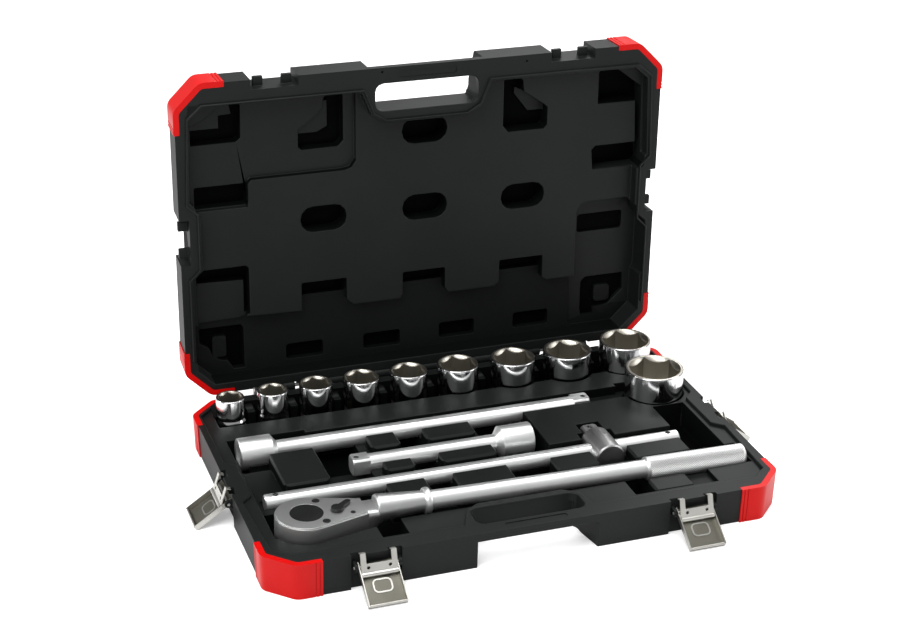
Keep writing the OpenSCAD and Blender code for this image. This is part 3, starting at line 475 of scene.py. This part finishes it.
# Sockets: radius of the mouth and of the drive end, in millimetres, by the width across the flats
socketShapes = {22: (15.8, 17.6), 24: (17.2, 18.2), 27: (18.8, 17.4), 30: (20.4, 18.8), 32: (21.3, 19.4),
                36: (23.7, 21.4), 38: (25.8, 23.0), 41: (28.1, 24.6), 46: (30.0, 26.0), 50: (33.3, 28.6)}
socketSizes = {"driveHalf": 9.75, "play": 0.4, "lip": 1.02, "lead": 0.2, "stepSlim": 0.54, "stepStout": 0.42,
               "wall": 0.9, "steps": 192}


def makeSocket(size):
    s = socketSizes
    mouth, drive = socketShapes[size]
    low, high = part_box(f"socket_{size}")
    tall = (high[2] - low[2]) / mm
    flat = (size + s["play"]) / 2
    corner = flat / math.cos(math.pi / 6)
    step = tall * (s["stepSlim"] if drive > mouth else s["stepStout"])
    lip = corner * s["lip"]

    def outlineAt(turn):
        inHex = flat / math.cos((turn + math.pi / 6) % (math.pi / 3) - math.pi / 6)
        inSquare = s["driveHalf"] / max(abs(math.cos(turn)), abs(math.sin(turn)))
        meet = tall - corner * s["lead"] * (lip - inHex) / (lip - flat)  # the mouth's cone meets the hexagon
        rows = [(inSquare, 0.3), (inSquare + 0.3, 0), (drive - 1.2, 0), (drive - 0.45, 0.3),
                (drive - 0.1, 0.8), (drive, 1.4), (drive, step - 3.4),
                (drive * 0.86 + mouth * 0.14, step - 2.6), (drive * 0.14 + mouth * 0.86, step - 0.4),
                (mouth, step + 0.4), (mouth, tall - 1.3), (mouth - 0.12, tall - 0.75),
                (mouth - 0.5, tall - 0.25), (mouth - 1.0, tall), (lip + 0.15, tall), (lip - 0.15, tall - 0.12),
                (inHex + 0.04, meet), (inHex, meet - 0.3), (inHex, tall * 0.5 + 0.2),
                (inHex * 0.995 + inSquare * 0.005, tall * 0.5), (inSquare, tall * 0.5)]
        return [(r * mm, z * mm) for r, z in rows]

    centre = ((low[0] + high[0]) / 2, (low[1] + high[1]) / 2, low[2])
    chrome = makeSocketChrome(f"socketChrome{size}", centre, (mouth - s["wall"]) * mm)
    spinPiece(f"socket_{size}_turned", outlineAt, s["steps"], Matrix.Translation(centre), chrome,
              f"socket_{size}")


for size in socketShapes:
    makeSocket(size)
print("sockets turned")

# The ratchet lies tilted about its drive's axis, and its handle runs along X
ratchetPlace = {"drive": (-220.5 * mm, -107 * mm, 44.9 * mm), "tilt": math.radians(1.107)}
ratchetAt = Matrix.Translation(ratchetPlace["drive"]) @ Matrix.Rotation(ratchetPlace["tilt"], 4, "Y")
ontoHandle = Matrix.Rotation(math.radians(90), 4, "Y")

# The collar ring: radius and distance along the handle, in millimetres
collarSizes = {"rows": [(10.1, 122), (12.0, 122), (13.1, 122.4), (13.8, 123.5), (14, 125.5), (13.8, 127.5),
                        (13.1, 128.6), (12.0, 129), (10.1, 129)], "steps": 96}
spinPiece("collar_turned", lambda turn: [(r * mm, z * mm) for r, z in collarSizes["rows"]],
          collarSizes["steps"], ratchetAt @ ontoHandle, satinChrome, "ratchet_collar")
print("collar turned")

# The neck: a block that sweeps up from the head's underside into the tube's taper, in millimetres along the
# handle; square is how boxy the block is, and inset how far it ends inside the taper
neckSizes = {"from": 60, "to": 80, "wide": 14.5, "low": -20, "top": 4.4, "square": 5.5, "stations": 18,
             "points": 96, "taperFrom": 71, "taperTo": 122, "thick": 14.5, "thin": 11, "taperPoints": 128,
             "inset": 0.04, "shoulder": 2.2, "shoulderSteps": 5}


def makeNeck():
    n = neckSizes
    b = bmesh.new()
    taper = n["taperTo"] - n["taperFrom"]
    bmesh.ops.create_cone(b, cap_ends=True, segments=n["taperPoints"], radius1=n["thick"], radius2=n["thin"],
                          depth=taper, matrix=Matrix.Translation((n["taperFrom"] + taper / 2, 0, 0)) @ ontoHandle)
    shoulder = [e for e in b.edges if all(v.co.x < n["taperFrom"] + taper / 2 for v in e.verts)]  # the thick end
    bmesh.ops.bevel(b, geom=shoulder, offset=n["shoulder"], segments=n["shoulderSteps"], profile=0.5,
                    affect="EDGES", material=-1)
    middle, half = (n["top"] + n["low"]) / 2, (n["top"] - n["low"]) / 2
    rings, loops = [], []
    for i in range(n["stations"] + 1):
        share = i / n["stations"]
        x = n["from"] + share * (n["to"] - n["from"])
        sweep = share * share * (3 - 2 * share)
        narrowing = (n["thick"] - n["thin"]) * max(0, x - n["taperFrom"]) / taper
        tube = n["thick"] - narrowing - n["inset"]
        ring = bmesh.ops.create_circle(b, segments=n["points"], radius=1)["verts"]
        for v in ring:  # the circle becomes a rounded block, drawn in to the tube as it goes
            side, up = (math.copysign(abs(c) ** (2 / n["square"]), c) for c in v.co.xy)
            spot = Vector((side * n["wide"], middle + up * half))
            if spot.length > tube:
                spot *= 1 + sweep * (tube / spot.length - 1)
            v.co = (x, *spot)
        rings.append(ring)
        loops.append(list(dict.fromkeys(e for v in ring for e in v.link_edges)))
    for one, two in zip(loops, loops[1:]):
        bmesh.ops.bridge_loops(b, edges=one + two)
    for ring in (rings[0], rings[-1]):
        bmesh.ops.contextual_create(b, geom=ring)
    bmesh.ops.recalc_face_normals(b, faces=b.faces)
    b.transform(ratchetAt @ Matrix.Diagonal((mm, mm, mm, 1)))
    settle(b, "neck_swept", headChrome, "ratchet_neck", sharp=40)


makeNeck()
print("neck swept")

# Diamond knurl cut into the grip's tube: plain is the uncut length at each end, and fade where the cuts run out
gripSizes = {"diamonds": 34, "depth": 0.7 * mm, "samples": 6, "plain": 2.2 * mm, "fade": 0.6 * mm,
             "chamfer": 1.1 * mm, "keen": 1.6}


def makeGrip():
    g = gripSizes
    tilt = ratchetPlace["tilt"]
    low, high = (Vector(c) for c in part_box("ratchet_grip"))
    radius = (high.y - low.y) / 2
    length = ((high.x - low.x) - 2 * radius * math.sin(tilt)) / math.cos(tilt)
    pitch = 2 * math.pi * radius / g["diamonds"]
    rows = int(length / pitch * g["samples"])
    b = bmesh.new()
    valley = b.verts.layers.float.new("valley")
    bmesh.ops.create_cone(b, cap_ends=True, segments=g["diamonds"] * g["samples"], radius1=radius,
                          radius2=radius, depth=length)
    lengthways = [e for e in b.edges if e.calc_length() > length / 2]
    bmesh.ops.subdivide_edges(b, edges=lengthways, cuts=rows - 1)
    for v in b.verts:
        x, turn = v.co.z + length / 2, math.atan2(v.co.y, v.co.x)
        fromEnd = min(x, length - x)
        knurled = min(1, max(0, (fromEnd - g["plain"]) / g["fade"]))
        across = g["diamonds"] * turn / (2 * math.pi)
        crossing = max(abs((across + way * x / pitch) % 1 * 2 - 1) for way in (1, -1))
        v[valley] = knurled * crossing ** g["keen"]
        r = radius - max(0, g["chamfer"] - fromEnd) - g["depth"] * v[valley]
        v.co = (x - length / 2, r * math.cos(turn), r * math.sin(turn))
    bmesh.ops.recalc_face_normals(b, faces=b.faces)
    b.transform(Matrix.Translation((low + high) / 2) @ Matrix.Rotation(tilt, 4, "Y"))
    settle(b, "grip_knurled", knurledChrome, "ratchet_grip", sharp=22)


makeGrip()
print("grip knurled")

# Camera
view = {"place": (-0.64322, -1.71718, 1.0366), "aim": (0.30558, 0.85372, -0.42163),
        "right": (0.94376, -0.33028, 0.01525), "lens": 77.34, "shift": (-0.0060, -0.0018), "sensor": 36,
        "farthest": 50}


def makeCamera():
    aim = Vector(view["aim"]).normalized()
    right = Vector(view["right"])
    right = (right - aim * right.dot(aim)).normalized()
    camera = bpy.data.objects.new("camera", bpy.data.cameras.new("camera"))
    camera.matrix_world = Matrix((right, right.cross(aim), -aim)).transposed().to_4x4()
    camera.location = view["place"]
    camera.data.lens = view["lens"]
    camera.data.sensor_width = view["sensor"]
    camera.data.shift_x, camera.data.shift_y = view["shift"]
    camera.data.clip_end = view["farthest"]
    bpy.context.scene.collection.objects.link(camera)
    bpy.context.scene.camera = camera


# Soft boxes
lamps = {"keySoft": {"place": (-1.2, -1.0, 1.9), "target": (0, 0, 0.05), "size": (1.4, 1.0), "watts": 38},
         "topSoft": {"place": (0.1, -0.1, 2.1), "target": (0, 0, 0.05), "size": (1.9, 0.9), "watts": 30},
         "leftSoft": {"place": (-1.9, 0.7, 1.0), "target": (-0.28, 0.2, 0.22), "size": (0.6, 0.6), "watts": 14},
         "rimSoft": {"place": (0.9, 1.3, 1.5), "target": (0, 0, 0.1), "size": (1.2, 0.5), "watts": 20},
         "sideSoft": {"place": (1.7, -0.5, 0.9), "target": (0, 0, 0.1), "size": (0.7, 1.2), "watts": 12}}


def hangLamp(name, place, target, size, watts):
    light = bpy.data.lights.new(name, "AREA")
    light.shape = "RECTANGLE"
    light.size, light.size_y = size
    light.energy = watts
    holder = bpy.data.objects.new(name, light)
    holder.location = place
    holder.rotation_euler = (Vector(target) - Vector(place)).to_track_quat("-Z", "Y").to_euler()
    bpy.context.scene.collection.objects.link(holder)


# Floor and sky: the camera sees both at full white, and their light on the set is weaker
studio = {"half": 8, "floor": (0.9, 0.9, 0.9, 1), "floorRough": 0.6, "unlit": (0, 0, 0, 1),
          "glow": (0.34, 0.34, 0.34, 1), "sky": (1, 1, 1, 1), "skyPlain": 0.38, "skySeen": 0.62}


def makeFloor():
    b = bmesh.new()
    bmesh.ops.create_grid(b, x_segments=1, y_segments=1, size=studio["half"])
    mesh = bpy.data.meshes.new("floor")
    b.to_mesh(mesh)
    b.free()
    floor = bpy.data.objects.new("floor", mesh)
    bpy.context.scene.collection.objects.link(floor)
    f = Finish("paleFloor")
    glow = f.blend(f.cameraSees(), studio["unlit"], studio["glow"])
    mesh.materials.append(f.feed(colour=studio["floor"], roughness=studio["floorRough"], glow=glow,
                                 glowStrength=1.0))


def makeSky():
    f = Finish("studio", world=True)
    strength = f.cameraSees() * studio["skySeen"] + studio["skyPlain"]
    bpy.context.scene.world = f.feed(sky=studio["sky"], skyStrength=strength)


makeCamera()
for name, lamp in lamps.items():
    hangLamp(name, **lamp)
makeFloor()
makeSky()
bpy.context.scene.view_settings.view_transform = "Standard"
print("studio set")
